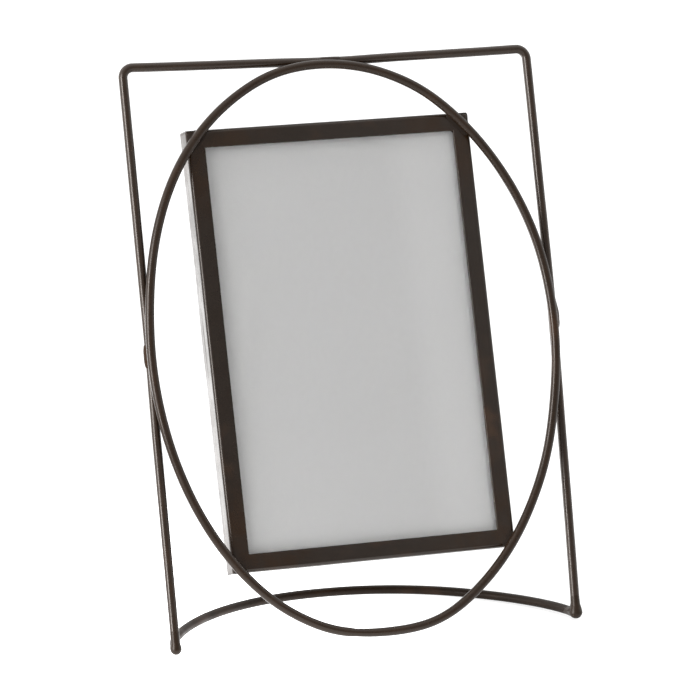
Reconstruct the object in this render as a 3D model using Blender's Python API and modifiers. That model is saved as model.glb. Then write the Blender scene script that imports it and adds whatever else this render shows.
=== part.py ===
"""Rectangular picture frame for a 10 x 15 cm photograph, held in a leaning wire stand.

A hoop of round wire leans back on two feet, and an arc of the same wire runs over the floor
behind it from foot to foot. A hand-bent oval ring is brazed to the front of the hoop, and
the four corners of the picture frame are brazed to the back of the ring. The frame is four
mitred rails of folded sheet. Glass, photograph and backing board lie in the fold, and four
turn buttons riveted to the board hold them in behind the rear hem.

Metres, +Z up. The photograph faces -Y and the origin is under the middle of the object.
The stand's own plane leans back: u runs right, v up the slope, n out of its front.
"""
import bpy
import bmesh
from math import asin, atan2, cos, exp, pi, radians, sin, tan
from mathutils import Matrix, Vector

MM = 0.001

# Clearances
TOUCH_GAP = 0.3 * MM          # between pieces that touch
PIVOT_CLEARANCE = 0.25 * MM   # round a rivet, on the radius
INSERT_PLAY = 0.2 * MM        # glass and board pass the rear hem with this on every side

# Wire stand
WIRE_RADIUS = 1.5 * MM
LEAN = radians(16.4)
HOOP_TALL = 203.0 * MM        # middle of the wire, from the feet to the top bar
HOOP_FOOT_SPAN = 149.4 * MM
HOOP_TOP_SPAN = 151.4 * MM
HOOP_TOP_SHIFT = 1.3 * MM     # the top bar sits a little to the right of the feet
HOOP_TOP_SAG = 0.8 * MM
HOOP_TOP_DIP = 0.45 * MM      # further down in the middle, where the ring was brazed on
HOOP_SIDE_BOW = 0.9 * MM      # the right side is bowed outwards
HOOP_SIDE_NUDGE = 0.34 * MM   # both sides went to the right when the ring was brazed in
HOOP_LEFT_CORNER = 3.0 * MM   # bend radii at the ends of the top bar
HOOP_RIGHT_CORNER = 3.7 * MM
FOOT_RADIUS = 1.65 * MM       # brazed knuckle that closes each side of the hoop
FOOT_TALL = 5.2 * MM
ARC_DEPTH = 61.5 * MM
ARC_SHIFT = 1.8 * MM
ARC_FLATNESS = 2.09           # exponents of the arc's plan, between a parabola and a circle
ARC_FULLNESS = 0.65

# Oval ring
RING_HALF_WIDTH = 75.5 * MM
RING_HALF_HEIGHT = 100.6 * MM
RING_CENTRE_U = 0.3 * MM
RING_BELOW_BAR = 1.6 * MM     # the ring's middle line at its top, under the top bar's
RING_TURN = radians(1.03)
RING_LOBES = (                # how far the bend is out of true
    (3, 0.0045, 0.0063), (4, -0.0021, 0.0020), (5, 0.0014, 0.0015), (7, -0.0006, -0.0010),
)
RING_WAVE = 0.004             # short wave beside the joint, as a share of the size
RING_WAVE_AT = radians(285.0)
RING_WAVE_REACH = radians(24.0)
RING_JOINT_AT = radians(261.0)
RING_JOINT_REACH = radians(11.0)
RING_JOINT_THIN = 0.16        # share of the wire filed away where the ring was closed

# Picture frame
FRAME_WIDTH = 105.8 * MM
FRAME_HEIGHT = 155.0 * MM
FRAME_U = 0.1 * MM
FRAME_ABOVE_CENTRE = 2.2 * MM # middle of the frame over the middle of the ring
FRAME_TURN = radians(0.74)    # it was brazed in a little askew
LIP_SIDE = 6.4 * MM
LIP_END = 6.4 * MM
SHEET = 0.8 * MM
HEM = 1.0 * MM                # rear return, inside the wall
FRONT_ROUND = 1.0 * MM
FOLD_ROUND = 0.5 * MM
GLASS_THICK = 1.8 * MM
CARD_THICK = 0.4 * MM
CARD_PLAY = 0.5 * MM          # on every side, less than the glass
BOARD_THICK = 1.5 * MM

# Turn buttons and their rivets
BUTTON_THICK = 0.5 * MM
BUTTON_INSET = 12.5 * MM      # pivot to the frame's outer face
BUTTON_SPREAD = 45.0 * MM     # pivot above and below the middle of the frame
BUTTON_TAIL_RADIUS = 3.6 * MM
BUTTON_TIP_RADIUS = 2.6 * MM
RIVET_RADIUS = 1.2 * MM
RIVET_HEAD_RADIUS = 2.4 * MM
RIVET_HEAD_TALL = 0.9 * MM
RIVET_FLANGE_RADIUS = 2.1 * MM
RIVET_FLANGE_THICK = 0.5 * MM

# Weld beads: half length, half width and half height
LEFT_BEAD = (3.8 * MM, 1.35 * MM, 1.7 * MM)
RIGHT_BEAD = (5.6 * MM, 0.95 * MM, 1.8 * MM)
TOP_BEAD = (3.9 * MM, 1.2 * MM, 1.7 * MM)
CORNER_BEAD = (4.2 * MM, 1.3 * MM, 1.2 * MM)
LEFT_BEAD_UP = 1.3 * MM       # over the middle of the ring
RIGHT_BEAD_UP = 6.8 * MM
TOP_BEAD_AT = radians(87.2)   # turn along the ring, as in ring_point

# Fineness of the round shapes
WIRE_FINENESS = 4
RING_STATIONS = 112
ROUND_STEPS = 20

# Sizes that follow from the ones above; heights in the frame count from its front face
RING_OFFSET = 2 * WIRE_RADIUS + TOUCH_GAP
RING_CENTRE_V = HOOP_TALL - RING_BELOW_BAR - RING_HALF_HEIGHT
FRAME_V = RING_CENTRE_V + FRAME_ABOVE_CENTRE
FRAME_FRONT = RING_OFFSET - WIRE_RADIUS - TOUCH_GAP
GLASS_FRONT = -SHEET - TOUCH_GAP
CARD_FRONT = GLASS_FRONT - GLASS_THICK - TOUCH_GAP
BOARD_FRONT = CARD_FRONT - CARD_THICK - TOUCH_GAP
BOARD_BACK = BOARD_FRONT - BOARD_THICK
BUTTON_FRONT = BOARD_BACK - TOUCH_GAP
BUTTON_BACK = BUTTON_FRONT - BUTTON_THICK
FRAME_DEPTH = SHEET + TOUCH_GAP - BUTTON_BACK
INSERT_WIDTH = FRAME_WIDTH - 2 * (SHEET + HEM + INSERT_PLAY)
INSERT_HEIGHT = FRAME_HEIGHT - 2 * (SHEET + HEM + INSERT_PLAY)
CARD_WIDTH = INSERT_WIDTH - 2 * CARD_PLAY
CARD_HEIGHT = INSERT_HEIGHT - 2 * CARD_PLAY
BUTTON_REACH = BUTTON_INSET - SHEET - TOUCH_GAP


class Bench:
    """The collections and the three empties that the pieces are placed on."""

    def __init__(self):
        for item in list(bpy.data.objects):
            bpy.data.objects.remove(item, do_unlink=True)
        self.pieces = self.collection("picture_frame_in_wire_stand")
        self.tools = self.collection("cutting_tools")
        self.guides = self.collection("guides")
        self.floor = self.empty("floor", None)
        self.plane = self.empty("leaning_plane", self.floor)
        self.plane.location = (0, 0, FOOT_RADIUS)
        self.plane.rotation_euler = (pi / 2 - LEAN, 0, 0)
        self.seat = self.empty("frame_seat", self.plane)
        self.seat.location = (FRAME_U, FRAME_V, FRAME_FRONT)
        self.seat.rotation_euler = (0, 0, FRAME_TURN)

    def collection(self, name):
        group = bpy.data.collections.new(name)
        bpy.context.scene.collection.children.link(group)
        return group

    def empty(self, name, parent):
        guide = bpy.data.objects.new(name, None)
        guide.parent = parent
        guide.empty_display_size = 0.02
        self.guides.objects.link(guide)
        return guide

    def piece(self, name, data, parent, material):
        """A visible piece with its own material, also where its mesh is shared."""
        item = bpy.data.objects.new(name, data)
        item.parent = parent
        self.pieces.objects.link(item)
        if not data.materials:
            data.materials.append(None)
        item.material_slots[0].link = "OBJECT"
        item.material_slots[0].material = material
        return item

    def tool(self, name, data, parent):
        """A hidden shape that only cuts others."""
        item = bpy.data.objects.new(name, data)
        item.parent = parent
        item.hide_render = True
        item.display_type = "WIRE"
        self.tools.objects.link(item)
        return item


def finish(name, colour, roughness, metallic, alpha=1.0):
    material = bpy.data.materials.new(name)
    material.use_nodes = True
    shader = material.node_tree.nodes["Principled BSDF"]
    shader.inputs["Base Color"].default_value = (*colour, 1.0)
    shader.inputs["Roughness"].default_value = roughness
    shader.inputs["Metallic"].default_value = metallic
    shader.inputs["Alpha"].default_value = alpha
    return material


def bronze(name, warmth):
    """Dark lacquered bronze, browner where the warmth is higher."""
    colour = (0.040 + 0.012 * warmth, 0.032, 0.027 - 0.006 * warmth)
    return finish(name, colour, roughness=0.42, metallic=0.55)


def smooth(mesh, angle=30.0):
    """Shade the round faces smooth and keep the folds sharp."""
    mesh.shade_smooth()
    mesh.set_sharp_from_angle(angle=radians(angle))


def as_mesh(curve, name):
    """A curve's solid as a closed mesh, its caps welded on."""
    item = bpy.data.objects.new(name, curve)
    bpy.context.scene.collection.objects.link(item)
    seen = item.evaluated_get(bpy.context.evaluated_depsgraph_get())
    mesh = bpy.data.meshes.new_from_object(seen)
    bpy.data.objects.remove(item, do_unlink=True)
    mesh.name = name
    mesh.materials.clear()
    work = bmesh.new()
    work.from_mesh(mesh)
    bmesh.ops.remove_doubles(work, verts=work.verts, dist=0.01 * MM)
    bmesh.ops.recalc_face_normals(work, faces=work.faces)
    work.to_mesh(mesh)
    work.free()
    return mesh


# Wires

def wire(name, stations, closed=False, extra=0.0):
    """Round wire through stations of (point, radius)."""
    curve = bpy.data.curves.new(name, "CURVE")
    curve.dimensions = "3D"
    curve.bevel_depth = WIRE_RADIUS
    curve.bevel_resolution = WIRE_FINENESS
    curve.use_fill_caps = not closed
    spline = curve.splines.new("POLY")
    spline.points.add(len(stations) - 1)
    for knot, (point, radius) in zip(spline.points, stations):
        knot.co = (*point, 1.0)
        knot.radius = (radius + extra) / WIRE_RADIUS
    spline.use_cyclic_u = closed
    return curve


def fillet(before, corner, after, radius, steps=6):
    """Points of the arc that rounds one corner of a flat path."""
    a = (Vector(before) - Vector(corner)).normalized()
    b = (Vector(after) - Vector(corner)).normalized()
    half = a.angle(b) / 2
    centre = Vector(corner) + (a + b).normalized() * (radius / sin(half))
    start = Vector(corner) + a * (radius / tan(half)) - centre
    sweep = pi - 2 * half
    if a.cross(b) > 0:
        sweep = -sweep
    return [centre + Matrix.Rotation(sweep * i / steps, 2) @ start for i in range(steps + 1)]


def hoop_side(sign, share):
    """Middle of the wire on one side of the hoop; share runs from 0, foot, to 1, top bar."""
    foot = sign * HOOP_FOOT_SPAN / 2
    top = HOOP_TOP_SHIFT + sign * HOOP_TOP_SPAN / 2
    from_joint = max(-1.0, min(1.0, (share - 0.53) / 0.32))
    bow = HOOP_SIDE_NUDGE * cos(pi / 2 * from_joint) ** 2
    if sign > 0:
        bow += HOOP_SIDE_BOW * 4 * share * (1 - share)
    return foot + (top - foot) * share + bow, HOOP_TALL * share


def hoop_stations():
    start = (FOOT_TALL + TOUCH_GAP) / HOOP_TALL
    shares = [start + (0.97 - start) * i / 9 for i in range(10)]
    left = [hoop_side(-1, share) for share in shares]
    right = [hoop_side(1, share) for share in shares]
    corner_left, corner_right = hoop_side(-1, 1.0), hoop_side(1, 1.0)
    bar = []
    for i in range(1, 12):
        share = i / 12
        sag = HOOP_TOP_SAG * (1 - (2 * share - 1) ** 2)
        sag += HOOP_TOP_DIP * exp(-((share - 0.52) / 0.115) ** 2)
        across = corner_left[0] + (corner_right[0] - corner_left[0]) * share
        bar.append((across, HOOP_TALL - sag))
    path = left + fillet(left[-1], corner_left, bar[0], HOOP_LEFT_CORNER)
    path += bar
    path += fillet(bar[-1], corner_right, right[-1], HOOP_RIGHT_CORNER) + right[::-1]
    return [((u, v, 0.0), WIRE_RADIUS) for u, v in path]


def ring_point(t):
    """Middle of the ring's wire; t turns from the right-hand side upwards."""
    size = 1 + sum(c * cos(k * t) + s * sin(k * t) for k, c, s in RING_LOBES)
    beyond = t - RING_WAVE_AT
    size += RING_WAVE * exp(-((beyond / RING_WAVE_REACH) ** 2)) * cos(10 * beyond)
    on_oval = Vector((RING_HALF_WIDTH * cos(t), RING_HALF_HEIGHT * sin(t))) * size
    return Vector((RING_CENTRE_U, RING_CENTRE_V)) + Matrix.Rotation(RING_TURN, 2) @ on_oval


def ring_stations():
    stations = []
    for i in range(RING_STATIONS):
        t = 2 * pi * i / RING_STATIONS
        filed = RING_JOINT_THIN * max(0.0, 1 - abs(t - RING_JOINT_AT) / RING_JOINT_REACH)
        stations.append(((*ring_point(t), RING_OFFSET), WIRE_RADIUS * (1 - filed)))
    return stations


def arc_point(t):
    """Middle of the rear arc on the floor; t runs from -1, left foot, to 1, right foot."""
    back = ARC_DEPTH * (1 - abs(t) ** ARC_FLATNESS) ** ARC_FULLNESS
    return HOOP_FOOT_SPAN / 2 * t + ARC_SHIFT * back / ARC_DEPTH, back, WIRE_RADIUS


def arc_stations(count=45):
    """The arc, cut short where its ends meet the feet."""
    nearest = FOOT_RADIUS + WIRE_RADIUS * tan(LEAN) + TOUCH_GAP
    reach = (1 - (nearest / ARC_DEPTH) ** (1 / ARC_FULLNESS)) ** (1 / ARC_FLATNESS)
    ends = asin(reach)
    turns = [ends * (2 * i / (count - 1) - 1) for i in range(count)]
    return [(arc_point(sin(turn)), WIRE_RADIUS) for turn in turns]


def foot_stations(sign):
    """Knuckle: a ball on the floor that runs up into the side of the hoop."""
    foot = Vector(hoop_side(sign, 0.0))
    along = (Vector(hoop_side(sign, 0.1)) - foot).normalized()
    stations = []
    for i in range(7):
        turn = pi / 2 * i / 6
        radius = max(FOOT_RADIUS * sin(turn), 0.02 * MM)
        stations.append((foot - along * FOOT_RADIUS * cos(turn), radius))
    shoulder = 4 * (FOOT_RADIUS - WIRE_RADIUS)
    stations.append((foot + along * (FOOT_TALL - shoulder), FOOT_RADIUS))
    stations.append((foot + along * FOOT_TALL, WIRE_RADIUS))
    return [((*point, 0.0), radius) for point, radius in stations]


# Weld beads

def bead(bench, name, centre, heading, halves, cutters, warmth):
    """Lump of braze metal on the leaning plane, cut clear of the pieces it joins."""
    mesh = bpy.data.meshes.new(name)
    work = bmesh.new()
    bmesh.ops.create_uvsphere(work, u_segments=16, v_segments=10, radius=1.0)
    bmesh.ops.scale(work, vec=halves, verts=work.verts)
    work.to_mesh(mesh)
    work.free()
    smooth(mesh, 40)
    item = bench.piece(name, mesh, bench.plane, bronze(name + "_bronze", warmth))
    item.location = centre
    item.rotation_euler = (0, 0, heading)
    for cutter in cutters:
        cut_by(item, cutter)
    return item


def cut_by(item, cutter):
    cut = item.modifiers.new(cutter.name, "BOOLEAN")
    cut.operation = "DIFFERENCE"
    cut.solver = "EXACT"
    cut.object = cutter


def frame_corner(sx, sy):
    """A corner of the picture frame in the leaning plane."""
    turned = Matrix.Rotation(FRAME_TURN, 2) @ Vector(
        (sx * FRAME_WIDTH / 2, sy * FRAME_HEIGHT / 2)
    )
    return Vector((FRAME_U, FRAME_V)) + turned


def corner_bead(bench, name, sx, sy, cutters):
    """Fillet where the ring crosses a corner of the frame, along its inner side."""
    corner = frame_corner(sx, sy)
    turns = [2 * pi * i / 720 for i in range(720)]
    nearest = min(turns, key=lambda t: (ring_point(t) - corner).length)
    here = ring_point(nearest)
    ahead = (ring_point(nearest + 0.01) - here).normalized()
    inward = Vector((-ahead.y, ahead.x))
    centre = here + inward * (WIRE_RADIUS - TOUCH_GAP / 2)
    height = FRAME_FRONT + CORNER_BEAD[2] / 2
    heading = atan2(ahead.y, ahead.x)
    bead(bench, name, (*centre, height), heading, CORNER_BEAD, cutters, warmth=0.8)


# Picture frame

def rail_outline(lip):
    """Section of a rail as (inset from the outer face, height over the front face)."""
    back = -FRAME_DEPTH
    ease = SHEET / 4
    outline = [(lip, -SHEET), (lip, -ease), (lip - ease, 0.0)]
    for i in range(6):
        turn = pi / 2 * i / 5
        outline.append((FRONT_ROUND * (1 - sin(turn)), -FRONT_ROUND * (1 - cos(turn))))
    for i in range(4):
        turn = pi / 2 * i / 3
        outline.append((FOLD_ROUND * (1 - cos(turn)), back + FOLD_ROUND * (1 - sin(turn))))
    outline += [(SHEET + HEM, back), (SHEET + HEM, back + SHEET)]
    outline += [(SHEET, back + SHEET), (SHEET, -SHEET)]
    return outline


def flat_shape(name, outlines, thick):
    """Plate with the given outer outline and holes, centred on its own plane."""
    curve = bpy.data.curves.new(name, "CURVE")
    curve.dimensions = "2D"
    curve.fill_mode = "BOTH"
    curve.extrude = thick / 2
    for outline in outlines:
        spline = curve.splines.new("POLY")
        spline.points.add(len(outline) - 1)
        for knot, (x, y) in zip(spline.points, outline):
            knot.co = (x, y, 0.0, 1.0)
        spline.use_cyclic_u = True
    return curve


def rail_mesh(name, run, outer, lip, next_lip):
    """Folded rail along the lower edge of a frame, both ends mitred to the next rails.

    run and outer are half the frame's length along the rail and half its width across it.
    """
    mesh = as_mesh(flat_shape(name, [rail_outline(lip)], 2 * run), name)
    lay_along_x = Matrix(((0, 0, 1, 0), (1, 0, 0, -outer), (0, 1, 0, 0), (0, 0, 0, 1)))
    mesh.transform(lay_along_x)
    work = bmesh.new()
    work.from_mesh(mesh)
    for sign in (-1, 1):
        outwards = Vector((sign * lip, next_lip, 0)).normalized()
        corner = Vector((sign * run, -outer, 0)) - outwards * TOUCH_GAP / 2
        geometry = work.verts[:] + work.edges[:] + work.faces[:]
        bmesh.ops.bisect_plane(
            work, geom=geometry, plane_co=corner, plane_no=outwards, clear_outer=True
        )
        open_edges = [edge for edge in work.edges if edge.is_boundary]
        bmesh.ops.contextual_create(work, geom=open_edges)
    bmesh.ops.recalc_face_normals(work, faces=work.faces)
    work.to_mesh(mesh)
    work.free()
    smooth(mesh)
    return mesh


def insert(bench, name, width, height, front, thick, material):
    """Flat sheet that lies in the fold of the rails."""
    mesh = bpy.data.meshes.new(name)
    work = bmesh.new()
    bmesh.ops.create_cube(work, size=1.0)
    bmesh.ops.scale(work, vec=(width, height, thick), verts=work.verts)
    work.to_mesh(mesh)
    work.free()
    item = bench.piece(name, mesh, bench.seat, material)
    item.location = (0, 0, front - thick / 2)
    return item


def ease_edges(item, width):
    ease = item.modifiers.new("eased_edges", "BEVEL")
    ease.width = width
    ease.segments = 1
    ease.limit_method = "ANGLE"
    ease.angle_limit = radians(40)


def drill(bench, item, name, spots, radius, low, high):
    """Bore the same hole at every spot, between two heights in the frame."""
    mesh = bpy.data.meshes.new(name)
    work = bmesh.new()
    for x, y in spots:
        bmesh.ops.create_cone(
            work, cap_ends=True, segments=ROUND_STEPS, radius1=radius, radius2=radius,
            depth=high - low, matrix=Matrix.Translation((x, y, (low + high) / 2)),
        )
    work.to_mesh(mesh)
    work.free()
    cut_by(item, bench.tool(name, mesh, bench.seat))


def rivet_mesh():
    """Half section from the clinched flange in the board to the domed head behind it."""
    head = BUTTON_BACK - TOUCH_GAP
    flange = BOARD_FRONT - RIVET_FLANGE_THICK
    section = [(0.0, BOARD_FRONT), (RIVET_FLANGE_RADIUS, BOARD_FRONT)]
    section += [(RIVET_FLANGE_RADIUS, flange), (RIVET_RADIUS, flange), (RIVET_RADIUS, head)]
    for i in range(6):
        turn = pi / 2 * i / 5
        section.append((RIVET_HEAD_RADIUS * cos(turn), head - RIVET_HEAD_TALL * sin(turn)))
    mesh = bpy.data.meshes.new("rivet")
    steps = [(i, i + 1) for i in range(len(section) - 1)]
    mesh.from_pydata([(x, 0.0, z) for x, z in section], steps, [])
    return mesh


def spin(item):
    """Turn a half section round its own Z."""
    turn = item.modifiers.new("turned", "SCREW")
    turn.axis = "Z"
    turn.angle = 2 * pi
    turn.steps = ROUND_STEPS
    turn.render_steps = ROUND_STEPS
    turn.use_merge_vertices = True
    turn.merge_threshold = 0.01 * MM
    turn.use_smooth_shade = True


def button_outline():
    """Teardrop round the pivot, its narrow tip along +X."""
    far = BUTTON_REACH - BUTTON_TIP_RADIUS
    lean = asin((BUTTON_TAIL_RADIUS - BUTTON_TIP_RADIUS) / far)
    outline = []
    for i in range(11):
        turn = lean - pi / 2 + (pi - 2 * lean) * i / 10
        outline.append((far + BUTTON_TIP_RADIUS * cos(turn), BUTTON_TIP_RADIUS * sin(turn)))
    for i in range(15):
        turn = pi / 2 - lean + (pi + 2 * lean) * i / 14
        outline.append((BUTTON_TAIL_RADIUS * cos(turn), BUTTON_TAIL_RADIUS * sin(turn)))
    return outline


def pivot_hole():
    radius = RIVET_RADIUS + PIVOT_CLEARANCE
    turns = [2 * pi * i / ROUND_STEPS for i in range(ROUND_STEPS)]
    return [(radius * cos(turn), radius * sin(turn)) for turn in turns]


# Assembly

def build_stand(bench):
    hoop, ring = hoop_stations(), ring_stations()
    bench.piece("outer_hoop", wire("outer_hoop", hoop), bench.plane, bronze("hoop_bronze", 0.3))
    bench.piece(
        "oval_ring", wire("oval_ring", ring, closed=True), bench.plane,
        bronze("ring_bronze", 0.3),
    )
    bench.piece(
        "rear_arc", wire("rear_arc", arc_stations()), bench.floor, bronze("arc_bronze", 0.5)
    )
    for name, sign in (("foot_left", -1), ("foot_right", 1)):
        shape = wire(name, foot_stations(sign))
        bench.piece(name, shape, bench.plane, bronze(name + "_bronze", 0.6))


def build_frame(bench):
    end_rail = rail_mesh("end_rail", FRAME_WIDTH / 2, FRAME_HEIGHT / 2, LIP_END, LIP_SIDE)
    side_rail = rail_mesh("side_rail", FRAME_HEIGHT / 2, FRAME_WIDTH / 2, LIP_SIDE, LIP_END)
    for name, mesh, turn, warmth in (
        ("rail_bottom", end_rail, 0.0, 0.1), ("rail_right", side_rail, pi / 2, 0.5),
        ("rail_top", end_rail, pi, 0.1), ("rail_left", side_rail, -pi / 2, 0.7),
    ):
        item = bench.piece(name, mesh, bench.seat, bronze(name + "_bronze", warmth))
        item.rotation_euler = (0, 0, turn)

    glass = insert(
        bench, "glass_pane", INSERT_WIDTH, INSERT_HEIGHT, GLASS_FRONT, GLASS_THICK,
        finish("clear_glass", (0.90, 0.93, 0.92), 0.05, 0.0, alpha=0.25),
    )
    ease_edges(glass, TOUCH_GAP / 2)
    insert(
        bench, "photo_card", CARD_WIDTH, CARD_HEIGHT, CARD_FRONT, CARD_THICK,
        finish("grey_card", (0.52, 0.52, 0.52), 0.6, 0.0),
    )
    board = insert(
        bench, "backing_board", INSERT_WIDTH, INSERT_HEIGHT, BOARD_FRONT, BOARD_THICK,
        finish("black_board", (0.03, 0.03, 0.03), 0.8, 0.0),
    )
    build_catches(bench, board)


def build_catches(bench, board):
    """Four turn buttons on the board, each on its own rivet, tips behind the side hems."""
    across = FRAME_WIDTH / 2 - BUTTON_INSET
    catches = (
        ("upper_left", -across, BUTTON_SPREAD, pi), ("upper_right", across, BUTTON_SPREAD, 0.0),
        ("lower_left", -across, -BUTTON_SPREAD, pi), ("lower_right", across, -BUTTON_SPREAD, 0.0),
    )
    spots = [(x, y) for _, x, y, _ in catches]
    past = BOARD_THICK / 2
    pocket = BOARD_FRONT - RIVET_FLANGE_THICK - TOUCH_GAP
    drill(
        bench, board, "shank_holes", spots, RIVET_RADIUS + PIVOT_CLEARANCE,
        BOARD_BACK - past, BOARD_FRONT + past,
    )
    drill(
        bench, board, "flange_pockets", spots, RIVET_FLANGE_RADIUS + TOUCH_GAP,
        pocket, BOARD_FRONT + past,
    )
    button = flat_shape("turn_button", [button_outline(), pivot_hole()], BUTTON_THICK)
    rivet = rivet_mesh()
    for place, x, y, heading in catches:
        name = "turn_button_" + place
        steel = finish(name + "_steel", (0.55, 0.52, 0.46), 0.35, 0.9)
        item = bench.piece(name, button, bench.seat, steel)
        item.location = (x, y, (BUTTON_FRONT + BUTTON_BACK) / 2)
        item.rotation_euler = (0, 0, heading)
        name = "rivet_" + place
        steel = finish(name + "_steel", (0.60, 0.58, 0.54), 0.3, 0.9)
        item = bench.piece(name, rivet, bench.seat, steel)
        item.location = (x, y, 0)
        spin(item)


def build_welds(bench):
    fat_hoop = as_mesh(wire("around_hoop", hoop_stations(), extra=TOUCH_GAP), "around_hoop")
    fat_ring = as_mesh(
        wire("around_ring", ring_stations(), closed=True, extra=TOUCH_GAP), "around_ring"
    )
    around_hoop = bench.tool("around_hoop", fat_hoop, bench.plane)
    around_ring = bench.tool("around_ring", fat_ring, bench.plane)
    between = RING_OFFSET / 2
    both = [around_hoop, around_ring]
    u, v = hoop_side(-1, (RING_CENTRE_V + LEFT_BEAD_UP) / HOOP_TALL)
    bead(
        bench, "weld_bead_left", (u - LEFT_BEAD[1], v, between), pi / 2, LEFT_BEAD,
        both, warmth=1.0,
    )
    u, v = hoop_side(1, (RING_CENTRE_V + RIGHT_BEAD_UP) / HOOP_TALL)
    bead(
        bench, "weld_bead_right", (u + RIGHT_BEAD[1], v, between), pi / 2, RIGHT_BEAD,
        both, warmth=0.4,
    )
    u, v = ring_point(TOP_BEAD_AT)
    bead(
        bench, "weld_bead_top", (u, v + WIRE_RADIUS, between), 0.0, TOP_BEAD,
        both, warmth=0.2,
    )

    mesh = bpy.data.meshes.new("around_frame")
    work = bmesh.new()
    bmesh.ops.create_cube(work, size=1.0)
    size = (FRAME_WIDTH + 2 * TOUCH_GAP, FRAME_HEIGHT + 2 * TOUCH_GAP, FRAME_DEPTH)
    bmesh.ops.scale(work, vec=size, verts=work.verts)
    work.to_mesh(mesh)
    work.free()
    around_frame = bench.tool("around_frame", mesh, bench.seat)
    around_frame.location = (0, 0, TOUCH_GAP - FRAME_DEPTH / 2)
    for place, sx, sy in (
        ("upper_left", -1, 1), ("upper_right", 1, 1),
        ("lower_left", -1, -1), ("lower_right", 1, -1),
    ):
        corner_bead(bench, "weld_corner_" + place, sx, sy, [around_ring, around_frame])


def seat_on_origin(bench):
    """Slide the whole object so that the origin is under the middle of its pieces."""
    bpy.context.view_layer.update()
    graph = bpy.context.evaluated_depsgraph_get()
    spots = []
    for item in bench.pieces.objects:
        seen = item.evaluated_get(graph)
        mesh = seen.to_mesh()
        spots += [item.matrix_world @ vertex.co for vertex in mesh.vertices]
        seen.to_mesh_clear()
    low = [min(spot[k] for spot in spots) for k in range(3)]
    high = [max(spot[k] for spot in spots) for k in range(3)]
    bench.floor.location = (-(low[0] + high[0]) / 2, -(low[1] + high[1]) / 2, -low[2])
    bpy.context.view_layer.update()


bench = Bench()
build_stand(bench)
build_frame(bench)
build_welds(bench)
seat_on_origin(bench)
print("floor at", [round(value / MM, 3) for value in bench.floor.location], "mm")
for item in bench.pieces.objects:
    if item.name.startswith("turn_button"):
        spot = item.matrix_world.translation
        print(item.name, "pivots at", [round(value / MM, 3) for value in spot], "mm")
normal = bench.seat.matrix_world.to_3x3() @ Vector((0, 0, 1))
print("about", [round(value, 5) for value in normal])
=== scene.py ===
# %% [markdown]
# # A picture frame in a leaning wire stand
#
# The real object is a small table-top frame. A rectangle of folded sheet holds glass and a
# card, an oval ring of round wire is brazed across its four corners, and a hoop and an arc of
# the same wire make the stand. All of it is blackened to a dark bronze under clear lacquer.
#
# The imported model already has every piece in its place. This lesson loads it as a fixed frame
# of reference and dresses it: finer wires, braze that flows into them, folded rails with soft
# edges, and finishes built from nodes.

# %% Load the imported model
import bpy
import numpy as np
from mathutils import Matrix, Vector


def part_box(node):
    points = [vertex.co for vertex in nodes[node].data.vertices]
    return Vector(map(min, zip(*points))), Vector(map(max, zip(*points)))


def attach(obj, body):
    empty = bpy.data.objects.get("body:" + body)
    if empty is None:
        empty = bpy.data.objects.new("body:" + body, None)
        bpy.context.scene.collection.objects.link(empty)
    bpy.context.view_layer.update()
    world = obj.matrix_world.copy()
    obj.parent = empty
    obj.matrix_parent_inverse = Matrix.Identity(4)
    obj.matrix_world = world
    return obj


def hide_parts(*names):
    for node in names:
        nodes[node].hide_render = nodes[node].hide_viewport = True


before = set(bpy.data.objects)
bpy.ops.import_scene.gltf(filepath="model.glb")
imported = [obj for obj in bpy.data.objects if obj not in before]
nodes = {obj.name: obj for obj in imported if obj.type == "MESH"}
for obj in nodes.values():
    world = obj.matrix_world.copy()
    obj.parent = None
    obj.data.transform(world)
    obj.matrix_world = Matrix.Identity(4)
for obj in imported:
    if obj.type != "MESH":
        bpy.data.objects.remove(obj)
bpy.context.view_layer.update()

print("nodes to dress:", len(nodes))

# %% [markdown]
# ## Where things are
#
# The hoop, the ring and the picture frame lie in planes that lean back together. It is easier
# to think in the leaning plane than in the room: u runs to the right, v up the slope and n out
# of the front. The picture frame is turned a little in that plane, because it was brazed in by
# eye. Two small functions carry points from there into the room.

# %% The leaning plane and the frame's own seat in it
MM = 0.001
LEAN = np.radians(16.4)
ZERO = np.array([-1.070, -29.243, 1.65]) * MM
ACROSS = np.array([1.0, 0.0, 0.0])
SLOPE = np.array([0.0, np.sin(LEAN), np.cos(LEAN)])
OUT = np.array([0.0, -np.cos(LEAN), np.sin(LEAN)])
UPRIGHT = np.array([0.0, 0.0, 1.0])

SEAT_U, SEAT_V, SEAT_N = 0.1 * MM, 103.0 * MM, 1.5 * MM
SEAT_TURN = np.radians(0.74)
GLASS_MIDDLE, GLASS_FRONT = -2.0 * MM, -1.1 * MM


def on_slope(u, v, n):
    """Point in the room: zero + u across + v up the slope + n out of the front."""
    u, v, n = np.broadcast_arrays(u, v, n)
    return ZERO + u[..., None] * ACROSS + v[..., None] * SLOPE + n[..., None] * OUT


def in_seat(x, y, z):
    """Point of the picture frame, turned by a small angle about the leaning plane's normal."""
    x, y, z = np.broadcast_arrays(x, y, z)
    u = SEAT_U + x * np.cos(SEAT_TURN) - y * np.sin(SEAT_TURN)
    v = SEAT_V + x * np.sin(SEAT_TURN) + y * np.cos(SEAT_TURN)
    return on_slope(u, v, SEAT_N + z)


low, high = (np.array(corner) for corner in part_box("glass_pane"))
off_seat = (low + high) / 2 - in_seat(0, 0, GLASS_MIDDLE)
print("glass centre is off its seat by (mm)", np.round(off_seat / MM, 2))

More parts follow.
